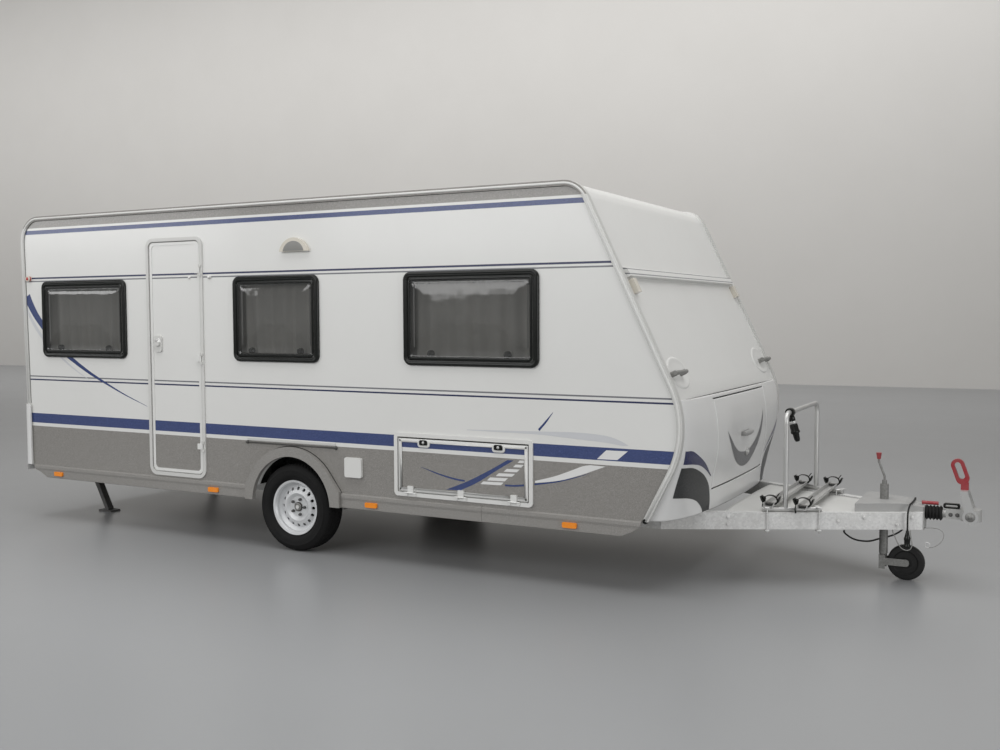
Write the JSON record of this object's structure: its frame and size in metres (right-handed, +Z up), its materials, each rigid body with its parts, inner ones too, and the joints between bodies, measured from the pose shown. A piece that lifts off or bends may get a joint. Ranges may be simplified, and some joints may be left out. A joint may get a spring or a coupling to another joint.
{
  "type": "travel caravan",
  "caption": "Single-axle touring caravan with hollow cabin, hinged door, locker lid and hatches, turning wheels, A-frame drawbar, jockey wheel and a bike rack.",
  "frame": {"origin": "ground point under the middle of the overall length and width", "axes": "+X forward towards the coupling, +Y to the trailer's left, +Z up; the entrance door is on the -Y side"},
  "size_m": [7.161, 2.364, 2.532],
  "materials": {
    "white_gelcoat": "gloss white gelcoat",
    "white_sheet": "stove-enamelled white aluminium sheet",
    "white_plastic": "white moulded plastic",
    "grey_moulding": "mid-grey moulded plastic",
    "rail_alloy": "satin rail",
    "galvanised": "galvanised steel",
    "silver_paint": "silver paint",
    "rough_steel": "dull cast drum",
    "floor_board": "sealed plywood",
    "black_plastic": "black plastic",
    "black_rubber": "black rubber",
    "tyre": "road tyre",
    "tinted_acrylic": "dark tinted acrylic",
    "clear_acrylic": "clear smoked dome",
    "curtain": "pale pleated cloth",
    "amber_lens": "amber lens",
    "red_lens": "red lens",
    "pale_lens": "milky lens",
    "red_plastic": "red grip plastic"
  },
  "bodies": {
    "caravan": {"floor_panel": "floor_board", "side_wall_right": "white_sheet", "side_wall_left": "white_sheet", "roof_panel": "white_sheet", "front_panel": "white_sheet", "rear_wall": "white_sheet", "front_locker": "white_gelcoat", "edge_rails": "rail_alloy", "grab_handles": "white_plastic", "marker_lamps": "pale_lens", "side_markers": "amber_lens", "rear_bumper": "white_gelcoat", "rear_lamps": "red_lens", "window_frames": "black_plastic", "window_panes": "tinted_acrylic", "curtains": "curtain", "door_frame": "white_plastic", "hatch_frames": "white_plastic", "side_skirts": "grey_moulding", "wheel_arches": "grey_moulding", "wheel_boxes": "black_plastic", "power_inlet": "white_plastic", "awning_lamp": "pale_lens", "fridge_vents": "white_plastic", "roof_light_frames": "white_plastic", "roof_light_domes": "clear_acrylic", "chassis_rails": "galvanised", "drawbar": "galvanised", "axle": "galvanised", "steadies": "galvanised", "jockey_tube": "galvanised", "drawbar_cover": "grey_moulding", "overrun_housing": "galvanised", "bellows": "black_rubber", "coupling_head": "galvanised", "hitch_levers": "galvanised", "coupling_handle": "black_plastic", "red_grips": "red_plastic", "rack_frame": "rail_alloy", "rack_rails": "rail_alloy", "rack_holders": "black_plastic", "supply_cable": "black_rubber", "supply_plug": "black_plastic", "breakaway_cable": "galvanised"},
    "wheel_right": {"rim_right": "silver_paint", "tyre_right": "tyre", "brake_drum_right": "rough_steel"},
    "wheel_left": {"rim_left": "silver_paint", "tyre_left": "tyre", "brake_drum_left": "rough_steel"},
    "jockey_fork": {"jockey_fork": "galvanised"},
    "jockey_wheel": {"jockey_wheel": "black_rubber"},
    "entrance_door": {"entrance_door": "white_sheet", "door_handle": "rail_alloy"},
    "locker_lid": {"locker_lid": "white_gelcoat", "lid_handle": "rail_alloy"},
    "service_lid": {"service_lid": "white_sheet", "service_locks": "black_plastic"},
    "cassette_lid": {"cassette_lid": "white_sheet"}
  },
  "joints": [
    {"name": "wheel_right_spin", "type": "hinge", "parent": "caravan", "child": "wheel_right", "pos_m": [-0.7715, -1.054, 0.31], "axis": [0, 1, 0], "continuous": true},
    {"name": "wheel_left_spin", "type": "hinge", "parent": "caravan", "child": "wheel_left", "pos_m": [-0.7715, 1.054, 0.31], "axis": [0, 1, 0], "continuous": true},
    {"name": "jockey_swivel", "type": "hinge", "parent": "caravan", "child": "jockey_fork", "pos_m": [3.0185, 0, 0.2], "axis": [0, 0, 1], "continuous": true},
    {"name": "jockey_wheel_spin", "type": "hinge", "parent": "jockey_fork", "child": "jockey_wheel", "pos_m": [3.1545, 0, 0.11], "axis": [0, 1, 0], "continuous": true},
    {"name": "entrance_door_hinge", "type": "hinge", "parent": "caravan", "child": "entrance_door", "pos_m": [-1.6025, -1.166, 1.35], "axis": [0, 0, 1], "range_deg": [0, 170]},
    {"name": "locker_lid_hinge", "type": "hinge", "parent": "caravan", "child": "locker_lid", "pos_m": [2.09096, 0, 1.146], "axis": [0, -1, 0], "range_deg": [0, 40]},
    {"name": "service_lid_hinge", "type": "hinge", "parent": "caravan", "child": "service_lid", "pos_m": [0.6075, -1.166, 0.497], "axis": [1, 0, 0], "range_deg": [0, 150]},
    {"name": "cassette_lid_hinge", "type": "hinge", "parent": "caravan", "child": "cassette_lid", "pos_m": [-1.5815, 1.166, 0.525], "axis": [-1, 0, 0], "range_deg": [0, 150]}
  ]
}
